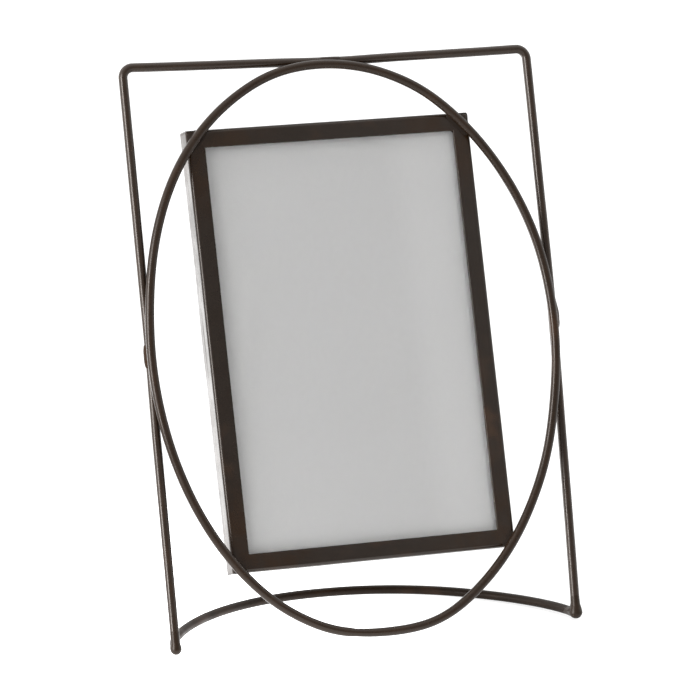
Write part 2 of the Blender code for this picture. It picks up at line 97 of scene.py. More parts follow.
# %% [markdown]
# ## From a grid of points to a mesh
#
# Every new piece here is a surface of two parameters. Its points are worked out as one numpy
# array of rows by columns, and this helper turns the grid into faces. Columns usually go round
# a section and close on themselves. Rows go along a path, and either close as well, as in a
# ring, or end in a fan of triangles at each end.

# %% Grid to mesh
def surface(name, points, close_rows=False, crease=None):
    """Mesh of rows by columns; columns close, rows close or get a fan at each end."""
    rows, columns = points.shape[:2]
    number = np.arange(rows * columns).reshape(rows, columns)
    ahead = np.roll(number, -1, axis=0) if close_rows else number[1:]
    here = number if close_rows else number[:-1]
    faces = np.stack(
        [here, np.roll(here, -1, axis=1), np.roll(ahead, -1, axis=1), ahead], axis=-1
    ).reshape(-1, 4).tolist()
    corners = points.reshape(-1, 3)
    if not close_rows:
        middles = np.stack([points[0].mean(axis=0), points[-1].mean(axis=0)])
        corners = np.concatenate([corners, middles])
        first, last = rows * columns, rows * columns + 1
        start, end = number[0], number[-1]
        fan = np.stack([np.full(columns, first), np.roll(start, -1), start], axis=-1)
        faces += fan.tolist()
        fan = np.stack([np.full(columns, last), end, np.roll(end, -1)], axis=-1)
        faces += fan.tolist()
    mesh = bpy.data.meshes.new(name)
    mesh.from_pydata(corners.tolist(), [], faces)
    mesh.shade_smooth()
    if crease is not None:
        mesh.set_sharp_from_angle(angle=np.radians(crease))
    item = bpy.data.objects.new(name, mesh)
    bpy.context.scene.collection.objects.link(item)
    return item


def note_place(item, name, values):
    """Keep one vector per point, such as its place on the straightened wire."""
    values = values.reshape(-1, 3)
    spare = len(item.data.vertices) - len(values)
    values = np.concatenate([values, np.repeat(values[-1:], spare, axis=0)])
    note = item.data.attributes.new(name, "FLOAT_VECTOR", "POINT")
    note.data.foreach_set("vector", values.astype(np.float32).ravel())


def dress(item, node, body="stand_and_frame"):
    """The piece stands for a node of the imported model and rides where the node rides."""
    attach(item, body)
    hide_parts(node)
    print(item.name, "has", len(item.data.polygons), "faces and stands for", node)


# %% [markdown]
# ## Uneven by hand
#
# Wire that was straightened, bent over a form and blackened by hand is never quite round or
# quite even. A few sine waves whose lengths have nothing in common give a smooth wander that
# never repeats over the object, and it comes out the same on every run.

# %% A wander without chance
def wander(place, lengths, phase=0.0):
    """Mean of sine waves of the given lengths along a place, between -1 and 1."""
    waves = [np.sin(2 * np.pi * place / length + phase + 1.7 * k) for k, length in enumerate(lengths)]
    return sum(waves) / len(waves)


def lumps(points, size, phase=0.0):
    """Soft bumps in space: products of sine waves along three slanted directions."""
    slants = np.array([[1.0, 0.31, 0.22], [-0.27, 1.0, 0.35], [0.18, -0.33, 1.0]])
    a, b, c = np.moveaxis(points @ slants.T * (2 * np.pi / size), -1, 0)
    return (np.sin(a + phase) * np.sin(b + 2.1) + np.sin(b - phase) * np.sin(c + 0.7)) / 2


# %% [markdown]
# ## Bent wires
#
# A wire is a circle carried along its middle line. For a wire that lies in a plane, the
# plane's normal is at right angles to the path everywhere, so it makes a frame that never
# twists. The radius wanders by about one part in a hundred. Each point also remembers its
# place on the straightened wire, so that the finish can run in streaks along it.

# %% Circle carried along a path
WIRE = 1.61 * MM


def length_along(path):
    """Distance from the start of a path to each of its points."""
    steps = np.linalg.norm(np.diff(path, axis=0), axis=1)
    return np.concatenate([[0.0], np.cumsum(steps)])


def wire(name, path, normal, radius, closed=False, rounds=40, phase=0.0):
    """Skin = path + radius (cos t normal + sin t sideways), t once round the wire."""
    if closed:
        ahead = np.roll(path, -1, axis=0) - np.roll(path, 1, axis=0)
    else:
        ahead = np.gradient(path, axis=0)
    ahead /= np.linalg.norm(ahead, axis=1, keepdims=True)
    sideways = np.cross(ahead, normal)
    t = 2 * np.pi * np.arange(rounds) / rounds
    along = length_along(path)[:, None]
    lengths = (61 * MM, 37 * MM, 17 * MM)
    if closed:
        whole = along[-1] + np.linalg.norm(path[0] - path[-1])
        lengths = (whole / 9, whole / 14, whole / 31)
    size = radius[:, None] * (1 + 0.010 * wander(along, lengths, phase) * np.cos(2 * t + phase))
    size = size * (1 + 0.006 * wander(along, lengths[::-1], phase + 1))
    circle = np.cos(t)[:, None] * normal + np.sin(t)[:, None] * sideways[:, None, :]
    item = surface(name, path[:, None, :] + size[..., None] * circle, close_rows=closed)
    straight = np.stack(
        np.broadcast_arrays(along, WIRE * np.cos(t), WIRE * np.sin(t)), axis=-1
    )
    note_place(item, "straightened", straight)
    return item


# %% [markdown]
# ### The hoop
#
# Two sides and a top bar of one wire. The sides lean apart by 2 mm on their way up, the right
# one is bowed outwards, and the bar sags slightly, a little more at its middle, where it was
# clamped to the ring. The two upper corners were bent to slightly different radii.

# %% Middle line of the hoop
HOOP_TALL = 203.0 * MM
FOOT_SPAN, TOP_SPAN, TOP_SHIFT = 149.4 * MM, 151.4 * MM, 1.3 * MM
RIGHT_BOW, RIGHT_NUDGE, LEFT_NUDGE = 0.9 * MM, 0.35 * MM, 0.33 * MM
BAR_SAG, BAR_NUDGE = 0.8 * MM, 0.45 * MM
LEFT_ROUND, RIGHT_ROUND = 3.6 * MM, 3.7 * MM


def hoop_side(sign, share):
    """u and v of a side: straight, plus a bow, and a nudge where it was brazed to the ring."""
    foot, top = sign * FOOT_SPAN / 2, TOP_SHIFT + sign * TOP_SPAN / 2
    if sign > 0:
        bow = RIGHT_BOW * 4 * share * (1 - share)
        bow = bow + RIGHT_NUDGE * np.cos(np.clip((share - 0.55) / 0.27, -1, 1) * np.pi / 2) ** 2
    else:
        bow = LEFT_NUDGE * np.clip(np.minimum((1 - share) / 0.49, (share - 0.37) / 0.14), 0, 1)
    return np.stack([foot + (top - foot) * share + bow, HOOP_TALL * share], axis=-1)


def rounded(before, corner, after, radius, steps=20):
    """Arc of a circle that touches both legs of a corner."""
    a = (before - corner) / np.linalg.norm(before - corner)
    b = (after - corner) / np.linalg.norm(after - corner)
    half = np.arccos(a @ b) / 2
    centre = corner + (a + b) / np.linalg.norm(a + b) * radius / np.sin(half)
    start = corner + a * radius / np.tan(half) - centre
    sweep = (np.pi - 2 * half) * (-1 if a[0] * b[1] - a[1] * b[0] > 0 else 1)
    turn = sweep * np.linspace(0, 1, steps + 1)[:, None]
    across = np.array([-start[1], start[0]])
    return centre + np.cos(turn) * start + np.sin(turn) * across


share = np.linspace(0.008, 0.975, 220)
left_side, right_side = hoop_side(-1, share), hoop_side(1, share)
left_corner, right_corner = hoop_side(-1, np.array(1.0)), hoop_side(1, np.array(1.0))
share = np.linspace(0.035, 0.965, 170)
bar = left_corner + (right_corner - left_corner) * share[:, None]
bar[:, 1] -= BAR_SAG * (1 - (2 * share - 1) ** 2) + BAR_NUDGE * np.exp(-((share - 0.52) / 0.115) ** 2)
hoop_line = np.concatenate([
    left_side, rounded(left_side[-1], left_corner, bar[0], LEFT_ROUND), bar,
    rounded(bar[-1], right_corner, right_side[-1], RIGHT_ROUND), right_side[::-1],
])
hoop_path = on_slope(hoop_line[:, 0], hoop_line[:, 1], 0.0)
hoop = wire("hoop_wire", hoop_path, OUT, np.full(len(hoop_path), WIRE))
dress(hoop, "outer_hoop")
print("wire in the hoop:", round(length_along(hoop_path)[-1] / MM), "mm")

# %% [markdown]
# ### The oval ring
#
# The ring was bent by eye, so it is an ellipse that is out of true. Soft lobes, three to seven
# round the ring, describe its general shape. Small kinks, each a few degrees long, are the places
# where the tool took hold, and a short wave lies beside the joint. The ends of the wire meet at
# the bottom, where the joint was filed smooth and the wire is thinner.

# %% Middle line of the ring
RING_N = 3.3 * MM
RING_HALF_WIDE, RING_HALF_HIGH = 75.5 * MM, 100.6 * MM
RING_U, RING_V = 0.3 * MM, 100.8 * MM
RING_TURN = np.radians(1.03)
# how many round the ring, with the shares of cosine and sine
LOBES = ((3, 0.0045, 0.0063), (4, -0.0021, 0.0020), (5, 0.0014, 0.0015), (7, -0.0006, -0.0010))
WAVE_AT, WAVE_WIDE, WAVE_HIGH = np.radians(285), np.radians(24), 0.004
# where on the ring and how wide, both in degrees, and how far out as a share of the ring's size
KINKS = (
    (16, 9, 0.0032), (38, 11, -0.0030), (61, 8, 0.0033), (86, 12, -0.0040), (106, 8, 0.0022),
    (142, 12, 0.0014), (168, 10, -0.0025), (205, 16, 0.0024), (240, 8, 0.0024), (254, 9, 0.0040),
    (293, 14, 0.0018), (330, 7, 0.0014), (346, 8, -0.0042),
)


def ring_line(t):
    """Ellipse times 1 + lobes + a wave + kinks, turned by about a degree; t is its angle."""
    size = 1 + sum(c * np.cos(k * t) + s * np.sin(k * t) for k, c, s in LOBES)
    beyond = np.mod(t, 2 * np.pi) - WAVE_AT
    size = size + WAVE_HIGH * np.exp(-(beyond / WAVE_WIDE) ** 2) * np.cos(10 * beyond)
    for at, wide, height in KINKS:
        off = np.mod(np.degrees(t) - at + 180, 360) - 180
        size = size + height * np.exp(-(off / wide) ** 2)
    x, y = RING_HALF_WIDE * np.cos(t) * size, RING_HALF_HIGH * np.sin(t) * size
    u = RING_U + x * np.cos(RING_TURN) - y * np.sin(RING_TURN)
    v = RING_V + x * np.sin(RING_TURN) + y * np.cos(RING_TURN)
    return u, v


t = 2 * np.pi * np.arange(720) / 720
ring_path = on_slope(*ring_line(t), RING_N)
FILED_FROM, FILED_TO = np.radians([259, 272])
STEEP, GENTLE = np.radians([2, 11])
FILED_OFF = 0.12
filed = np.clip((t - FILED_FROM) / STEEP, 0, 1) * np.clip((FILED_TO - t) / GENTLE, 0, 1)
ring = wire("ring_wire", ring_path, OUT, WIRE * (1 - FILED_OFF * filed), closed=True, phase=0.9)
dress(ring, "oval_ring")
print("thinnest wire in the ring:", round(2 * WIRE * (1 - FILED_OFF * filed.max()) / MM, 2), "mm")

# %% [markdown]
# ### The rear arc
#
# A bow of wire on the table from foot to foot. Its plan is fuller than a parabola and flatter
# than half a circle, so a power curve with two exponents fits it. Its deepest point is a little
# to the right, and its ends rise slightly to where they were brazed to the feet.

# %% Middle line of the arc
ARC_DEEP, ARC_SKEW, ARC_LIFT = 61.5 * MM, 1.8 * MM, 0.6 * MM
ARC_POWER, ARC_ROOT = 2.09, 0.65


def arc_line(t):
    """Depth = deepest times (1 - |t|^power)^root across the span, t from -1 to 1."""
    back = ARC_DEEP * (1 - np.abs(t) ** ARC_POWER) ** ARC_ROOT
    x = FOOT_SPAN / 2 * t + ARC_SKEW * back / ARC_DEEP
    lift = ARC_LIFT * (np.clip((t - 0.65) / 0.35, 0, 1) ** 2 + np.clip((-0.8 - t) / 0.2, 0, 1) ** 2)
    return np.stack([x + ZERO[0], back + ZERO[1], WIRE + lift], axis=-1)


turn = np.linspace(-1, 1, 420) * np.arcsin(0.9995)
arc_path = arc_line(np.sin(turn))
arc = wire("arc_wire", arc_path, UPRIGHT, np.full(len(arc_path), WIRE), phase=2.2)
dress(arc, "rear_arc")
print("the arc reaches back", round((arc_path[:, 1].max() - ZERO[1]) / MM, 1), "mm")

# %% [markdown]
# ## Braze that flows
#
# Where two wires meet, molten braze metal creeps into the groove between them and freezes in a
# smooth hollow. A ball stuck on top would look wrong. Instead, each joint is described by
# distances: how far a point is from either wire. Joining the two distances with a rounded
# minimum gives a shape that is both wires at once, with a fillet between. Rays go out all round
# from a short spine inside the joint and stop where that blended distance, less the thickness
# of the metal, is nil.

# %% Distances and their rounded minimum
def from_path(points, path, radius=WIRE):
    """Distance to the skin of a wire: least distance to the legs of its path, less the radius."""
    start, leg = path[:-1], np.diff(path, axis=0)
    offset = points[..., None, :] - start
    share = np.clip((offset * leg).sum(-1) / (leg * leg).sum(-1), 0, 1)
    return np.linalg.norm(offset - share[..., None] * leg, axis=-1).min(axis=-1) - radius


def blend(a, b, width):
    """Rounded minimum: the smaller of a and b, less a bit where they are within the width."""
    near = np.clip(1 - np.abs(a - b) / width, 0, 1)
    return np.minimum(a, b) - near * near * width / 4


def near_part(path, middle, reach):
    """The stretch of a path within reach of a point."""
    inside = np.flatnonzero(np.linalg.norm(path - middle, axis=1) < reach)
    return path[inside.min():inside.max() + 1]


# %% Rays from a spine to the skin
# rows where the metal is thinner than this are left out
THINNEST = 0.02 * MM


def braze(name, spine, normal, field, reach, rounds=56):
    """Skin = spine + r (cos t normal + sin t sideways), r where the field turns positive."""
    ahead = np.gradient(spine, axis=0)
    ahead /= np.linalg.norm(ahead, axis=1, keepdims=True)
    sideways = np.cross(ahead, normal)
    sideways /= np.linalg.norm(sideways, axis=1, keepdims=True)
    upward = np.cross(sideways, ahead)
    t = 2 * np.pi * np.arange(rounds) / rounds
    rays = np.cos(t)[:, None] * upward[:, None, :] + np.sin(t)[:, None] * sideways[:, None, :]
    steps = np.linspace(0, reach, 25)
    first = np.full(rays.shape[:2], len(steps) - 1)
    for k in reversed(range(1, len(steps) - 1)):
        first[field(spine[:, None, :] + steps[k] * rays) > 0] = k
    first[field(spine) > 0] = 1
    near, far = steps[first - 1], steps[first]
    for _ in range(12):
        middle = (near + far) / 2
        out = field(spine[:, None, :] + middle[..., None] * rays) > 0
        near, far = np.where(out, near, middle), np.where(out, middle, far)
    keep = near.max(axis=1) > THINNEST
    first_row, last_row = np.flatnonzero(keep)[[0, -1]]
    rows = slice(first_row, last_row + 1)
    points = spine[rows, None, :] + near[rows][..., None] * rays[rows]
    item = surface(name, points)
    along = length_along(spine[rows])[:, None]
    straight = np.stack(np.broadcast_arrays(along, WIRE * np.cos(t), WIRE * np.sin(t)), axis=-1)
    note_place(item, "straightened", straight)
    return item


# %% [markdown]
# ### Where the ring meets the hoop
#
# Three joints: left, right and top. The ring runs just in front of the hoop, and the metal was
# fed in from outside, so most of it lies as a smooth bead along the hoop's outer side. The
# spine is the hoop's own middle line. On the other sides the skin stays just inside the wires,
# where it can't be seen.

# %% Beads between ring and hoop
# how far the skin dives under the wires, and how far a spine goes, in half lengths of a bead
UNDER, SPINE_REACH = 0.06 * MM, 1.2


def bead(name, node, line, thick, groove, outward, shape):
    """Blend of hoop and ring, with the hoop's outer side raised by thick times a shape along it."""
    spine = on_slope(line[:, 0], line[:, 1], 0.0)
    middle = (spine[0] + spine[-1]) / 2
    half_long = np.linalg.norm(spine[-1] - spine[0]) / (2 * SPINE_REACH)
    ahead = (spine[-1] - spine[0]) / (2 * SPINE_REACH * half_long)
    hoop_part = near_part(hoop_path, middle, 4 * half_long)
    ring_part = near_part(ring_path, middle, 4 * half_long)

    def field(points):
        place = (points - middle) @ ahead / half_long
        side = np.clip((points - middle) @ outward / WIRE, 0, 1)
        metal = (thick + UNDER) * np.interp(place, *shape) * side * (2 - side) - UNDER
        metal = metal * (1 + 0.08 * lumps(points, 4.0 * MM, half_long / MM))
        hoop_skin, ring_skin = from_path(points, hoop_part), from_path(points, ring_part)
        return blend(hoop_skin - metal, ring_skin + UNDER, groove * np.clip(1 - place ** 2, 0.1, 1))

    item = braze(name, spine, OUT, field, 6 * MM)
    dress(item, node)
    return item


spine_share = np.linspace(-SPINE_REACH, SPINE_REACH, 90)


def along_side(sign, v, half_long):
    """Stretch of a side of the hoop, a little longer than the bead at both ends."""
    return hoop_side(sign, (v + half_long * spine_share) / HOOP_TALL)


top_u = ring_line(np.radians(87.2))[0] + 4.2 * MM * spine_share
top_line = np.stack([top_u, np.interp(top_u, bar[:, 0], bar[:, 1])], axis=-1)
left_line = along_side(-1, 102.3 * MM, 4.1 * MM)
right_line = along_side(1, 107.6 * MM, 5.6 * MM)
left_outward = 0.85 * -ACROSS + 0.53 * OUT
right_outward = 0.87 * ACROSS + 0.50 * OUT
# thickness along a bead: place between its ends, and share of the full thickness there
half_ellipse = ((-1.0, -0.85, -0.5, 0.0, 0.5, 0.85, 1.0), (0.0, 0.5, 0.87, 1.0, 0.9, 0.6, 0.0))
cut_off = ((-1.0, -0.88, -0.6, 0.0, 0.35, 0.7, 1.0), (0.0, 0.7, 1.0, 1.0, 0.75, 0.32, 0.0))
beads = [
    bead("bead_left", "weld_bead_left", left_line, 0.55 * MM, 1.0 * MM, left_outward, half_ellipse),
    bead("bead_right", "weld_bead_right", right_line, 0.80 * MM, 1.2 * MM, right_outward, cut_off),
    bead("bead_top", "weld_bead_top", top_line, 0.12 * MM, 1.6 * MM, SLOPE, half_ellipse),
]

# %% [markdown]
# ### Where the ring crosses the frame's corners
#
# Here the second shape isn't a wire but the picture frame, so its distance is that of a box with
# rounded edges. The skin runs just under the skin of the wire and of the sheet, so that only the
# metal in the groove between them shows. It is lumpy, as braze is that was fed in by hand.

# %% Fillets at the four corners
FRAME_W, FRAME_H, FRAME_DEEP = 105.8 * MM, 155.0 * MM, 7.3 * MM
UNDER_WIRE, UNDER_SHEET = 0.07 * MM, 0.03 * MM
FILLET_REACH, FILLET_ROOT = 9 * MM, 0.5 * MM
# half of the stretch of the ring that is looked at, as an angle
HALF_STRETCH = 0.115


def seat_coordinates(points):
    """x, y and z of room points in the picture frame's own seat."""
    offset = points - on_slope(SEAT_U, SEAT_V, SEAT_N)
    u, v, z = offset @ ACROSS, offset @ SLOPE, offset @ OUT
    x = u * np.cos(SEAT_TURN) + v * np.sin(SEAT_TURN)
    y = v * np.cos(SEAT_TURN) - u * np.sin(SEAT_TURN)
    return np.stack([x, y, z], axis=-1)


def from_frame(points, round_off=0.8 * MM):
    """Distance to the frame taken as a solid box with rounded edges."""
    place = seat_coordinates(points)
    half = np.array([FRAME_W, FRAME_H, FRAME_DEEP]) / 2
    beyond = np.abs(place + [0, 0, half[2]]) - (half - round_off)
    outer = np.linalg.norm(np.maximum(beyond, 0), axis=-1)
    return outer + np.minimum(beyond.max(axis=-1), 0) - round_off


def corner_fillet(where, sx, sy, groove, thick):
    """Blend of ring and frame along the stretch of the ring nearest to one corner."""
    corner = in_seat(sx * FRAME_W / 2, sy * FRAME_H / 2, 0.0)
    turns = np.linspace(0, 2 * np.pi, 2881)
    line = on_slope(*ring_line(turns), RING_N)
    nearest = turns[np.linalg.norm(line - corner, axis=1).argmin()]
    stretch = nearest + np.linspace(-HALF_STRETCH, HALF_STRETCH, 72)
    spine = on_slope(*ring_line(stretch), SEAT_N + 0.15 * MM)
    middle = spine[len(spine) // 2]
    ring_part = near_part(ring_path, middle, 16 * MM)

    def field(points):
        away = np.linalg.norm(points - middle, axis=-1) / FILLET_REACH
        metal = thick * np.clip(1 - away ** 2, -0.8, 1) * (1 + 0.4 * lumps(points, 2.6 * MM, sx + sy))
        width = groove * np.clip(1.15 - away, 0.15, 1)
        from_ring = from_path(points, ring_part)
        joined = blend(from_ring + UNDER_WIRE, from_frame(points) + UNDER_SHEET, width)
        root = -(seat_coordinates(points)[..., 2] + FILLET_ROOT)
        return np.maximum(joined - metal, root)

    item = braze("fillet_" + where, spine, OUT, field, 4.5 * MM)
    dress(item, "weld_corner_" + where)
    return item


fillets = [
    corner_fillet("upper_left", -1, 1, 2.2 * MM, 0.02 * MM),
    corner_fillet("upper_right", 1, 1, 1.7 * MM, 0.01 * MM),
    corner_fillet("lower_left", -1, -1, 1.8 * MM, 0.02 * MM),
    corner_fillet("lower_right", 1, -1, 1.9 * MM, 0.02 * MM),
]

# %% [markdown]
# ### The feet
#
# Each side of the hoop ends in a knuckle of braze that also takes the end of the arc. Here the
# spine runs up the inside of the hoop's wire, and the skin swells to a rounded tip just above the
# table, flows into the arc behind, and dives back under the skin of both wires. The blend gets
# narrower near the table, or the foot would look square.

# %% Knuckles at the feet
SWELL_REACH, KNUCKLE_REACH, NARROW_BELOW = 6.5 * MM, 8.0 * MM, 2.5 * MM


def knuckle(name, node, sign, swell, groove):
    """Blend of the hoop's lower end with the arc, swollen at the tip and thinning away from it."""
    s = (-1.2 + 11.2 * np.linspace(0, 1, 90) ** 2) * MM / HOOP_TALL
    line = hoop_side(sign, s)
    spine = on_slope(line[:, 0], line[:, 1], 0.0)
    rod = on_slope(*np.moveaxis(hoop_side(sign, np.linspace(0.6, 7, 8) * MM / HOOP_TALL), -1, 0), 0.0)
    tip = rod[0]
    arc_part = near_part(arc_path, tip, 14 * MM)

    def field(points):
        away = np.linalg.norm(points - tip, axis=-1)
        metal = swell * np.clip(1 - away / SWELL_REACH, -0.7, 1)
        metal = metal * (1 + 0.3 * lumps(points, 3.1 * MM, sign))
        width = groove * np.clip(points[..., 2] / NARROW_BELOW, 0.1, 1)
        joined = blend(from_path(points, rod), from_path(points, arc_part), width)
        ends = away - KNUCKLE_REACH
        table = -points[..., 2]
        return np.maximum(np.maximum(joined - metal, ends), table)

    item = braze(name, spine, OUT, field, 9 * MM, rounds=64)
    dress(item, node)
    return item


feet = [
    knuckle("knuckle_left", "foot_left", -1, 0.06 * MM, 1.6 * MM),
    knuckle("knuckle_right", "foot_right", 1, 0.22 * MM, 2.8 * MM),
]

# %% [markdown]
# ## Folded rails
#
# Each side of the picture frame is sheet steel, 0.8 mm thick, folded to a channel: a lip in
# front of the glass, a wall, and a short hem behind the board. Its section is drawn as one
# closed outline and carried along the rail. At a corner each line of the section ends on the
# mitre, after half of a small bend whose radius shrinks from the outer face inwards.

# %% Section of the folded sheet
SHEET, HEM = 0.8 * MM, 1.0 * MM
CORNER_ROUND, CORNER_LEAST = 1.8 * MM, 0.06 * MM


def bend(centre, radius, start, end, steps):
    """Points on an arc in the section, by angle in degrees."""
    turn = np.radians(np.linspace(start, end, steps))
    return np.stack([centre[0] + radius * np.cos(turn), centre[1] + radius * np.sin(turn)], axis=-1)


def section(lip):
    """Closed outline as (inset from the outer face, height over the front face)."""
    edge, front, back = 0.22 * MM, 1.4 * MM, 0.4 * MM
    deep = -FRAME_DEEP
    return np.concatenate([
        [[lip, -SHEET]],
        bend((lip - edge, -edge), edge, 0, 90, 6),
        np.stack([np.linspace(lip - 2 * edge, front + edge, 14), np.zeros(14)], axis=-1),
        bend((front, -front), front, 90, 180, 14),
        np.stack([np.zeros(14), np.linspace(-front - edge, deep + back + edge, 14)], axis=-1),
        bend((back, deep + back), back, 180, 270, 8),
        bend((SHEET + HEM - edge, deep + edge), edge, 270, 360, 5),
        [[SHEET + HEM, deep + SHEET], [SHEET, deep + SHEET]],
        np.stack([np.full(4, SHEET), np.linspace(deep + 2 * SHEET, -2 * SHEET, 4)], axis=-1),
        [[SHEET, -SHEET]],
    ])


# %% Section carried along a rail
def rail(name, node, quarter, run, outer, lip, next_lip, wave, phase):
    """Row = section at one station; stations end at run - inset * next lip / lip, the mitre."""
    outline = section(lip)
    inset, height = outline[:, 0], outline[:, 1]
    corner = np.maximum(CORNER_ROUND - inset, CORNER_LEAST)
    cut = corner * (1 - np.tan(np.pi / 8))
    end = run - inset * next_lip / lip - cut
    straight = np.linspace(-1, 1, 90)[:, None] * end
    turn = np.radians(np.linspace(0, 45, 7))[1:, None]
    round_x = cut * np.sin(turn) / np.sin(np.pi / 4)
    round_y = corner * (1 - np.cos(turn)) * 0.55
    x = np.concatenate([-(end + round_x)[::-1], straight, end + round_x])
    y = np.concatenate([round_y[::-1], np.zeros_like(straight), round_y]) + inset - outer
    along = x / run
    flex = wave * (1 - along ** 2) * wander(x, (83 * MM, 47 * MM), phase)
    y = y + flex * np.where(inset < 1.2 * MM, 1.0, 0.4) * np.where(height < -4 * MM, 1.6, 0.5)
    z = height + 0.02 * MM * wander(x + 3 * inset, (29 * MM, 53 * MM), phase + 2) * (1 - along ** 2)
    turned_x = x * np.cos(quarter) - y * np.sin(quarter)
    turned_y = x * np.sin(quarter) + y * np.cos(quarter)
    item = surface(name, in_seat(turned_x, turned_y, z), crease=50)
    note_place(item, "seat", np.stack(np.broadcast_arrays(turned_x, turned_y, z), axis=-1))
    dress(item, node)
    return item


LIP_SIDE, LIP_END = 6.4 * MM, 6.4 * MM
ends = (FRAME_W / 2, FRAME_H / 2, LIP_END, LIP_SIDE)
sides = (FRAME_H / 2, FRAME_W / 2, LIP_SIDE, LIP_END)
rails = {
    "bottom": rail("channel_bottom", "rail_bottom", 0.0, *ends, 0.05 * MM, 0.3),
    "right": rail("channel_right", "rail_right", np.pi / 2, *sides, 0.06 * MM, 1.3),
    "top": rail("channel_top", "rail_top", np.pi, *ends, 0.05 * MM, 2.6),
    "left": rail("channel_left", "rail_left", -np.pi / 2, *sides, 0.10 * MM, 4.0),
}

# %% [markdown]
# ## Turn buttons and rivets
#
# The board is held by four stamped teardrops of spring steel. Each is a plate with a hole, so
# its skin closes both ways: once round the outline, and once from the rim over the face, down
# the hole and back under. The rivets are turned shapes: a half section swept round the pivot.

# %% Stamped button
BUTTON_BACK, BUTTON_THICK, BUTTON_HOLE = -6.2 * MM, 0.5 * MM, 1.45 * MM
PIVOTS = {
    "upper_left": (-40.4 * MM, 45.0 * MM, np.pi), "upper_right": (40.4 * MM, 45.0 * MM, 0.0),
    "lower_left": (-40.4 * MM, -45.0 * MM, np.pi), "lower_right": (40.4 * MM, -45.0 * MM, 0.0),
}


def teardrop(turns, tail=3.6 * MM, tip=2.6 * MM, far=8.8 * MM):
    """Distance from the pivot to the outline: two circles and the lines that touch both."""
    lean = np.arcsin((tail - tip) / far)
    angle = np.abs(np.arctan2(np.sin(turns), np.cos(turns)))
    line = tail / np.maximum(np.cos(np.pi / 2 - lean - angle), 0.05)
    inner = np.maximum(tip ** 2 - (far * np.sin(angle)) ** 2, 0)
    nose = far * np.cos(angle) + np.sqrt(inner)
    on_nose = angle < np.arctan2(tip * np.cos(lean), far + tip * np.sin(lean))
    return np.where(angle > np.pi / 2 - lean, tail, np.where(on_nose, nose, line))


def button(place):
    """Skin = hole + w (outline - hole), w and height going once round the plate's section."""
    x0, y0, heading = PIVOTS[place]
    turns = 2 * np.pi * np.arange(120) / 120
    rim, hole = teardrop(turns), np.full(120, BUTTON_HOLE)
    soft, half = 0.14 * MM, BUTTON_THICK / 2
    arcs = [np.radians(np.linspace(a, a + 90, 5)) for a in (0, 90, 180, 270)]
    inward = np.concatenate([np.cos(a) for a in arcs]) * soft
    height = np.concatenate([np.sin(a) for a in arcs]) * soft
    height += np.repeat([half - soft, half - soft, soft - half, soft - half], 5)
    at_rim = np.repeat([True, False, False, True], 5)
    reach = np.where(at_rim[:, None], rim - soft, hole + soft) + inward[:, None]
    x, y = reach * np.cos(turns), reach * np.sin(turns)
    z = height[:, None] + BUTTON_BACK + half + np.zeros_like(x)
    turned_x = x0 + x * np.cos(heading) - y * np.sin(heading)
    turned_y = y0 + x * np.sin(heading) + y * np.cos(heading)
    item = surface("catch_" + place, in_seat(turned_x, turned_y, z), close_rows=True, crease=40)
    dress(item, "turn_button_" + place, "button_" + place)
    return item


# %% Turned rivet
def rivet(place):
    """Half section (radius, height) swept once round the pivot."""
    x0, y0, _ = PIVOTS[place]
    head, front = BUTTON_BACK - 0.3 * MM, -3.9 * MM
    flange = front - 0.5 * MM
    dome = np.radians(np.linspace(4, 82, 14))
    flat = np.array([
        [2.0, front], [2.1, front - 0.1 * MM], [2.1, flange],
        [1.2, flange], [1.2, head], [2.3, head],
    ]) * [MM, 1]
    cap = np.stack([2.4 * MM * np.cos(dome), head - 0.9 * MM * np.sin(dome)], axis=-1)
    dimple = np.array([[0.30 * MM, head - 0.88 * MM], [0.16 * MM, head - 0.80 * MM]])
    profile = np.concatenate([[[0.6 * MM, front]], flat, cap, dimple])
    turns = 2 * np.pi * np.arange(40) / 40
    x = x0 + profile[:, :1] * np.cos(turns)
    y = y0 + profile[:, :1] * np.sin(turns)
    item = surface("rivet_head_" + place, in_seat(x, y, profile[:, 1:] + 0 * x)[::-1], crease=45)
    dress(item, "rivet_" + place)
    return item


catches = [button(place) for place in PIVOTS]
rivets = [rivet(place) for place in PIVOTS]

# %% [markdown]
# ## Finishes
#
# A finish is a small network of nodes. This helper keeps the code short: it makes a node, sets
# its inputs by name or number, and takes another node's output wherever a value could stand.
# Sizes inside the nodes are in metres, so a noise of scale 1000 has grains of about 1 mm.

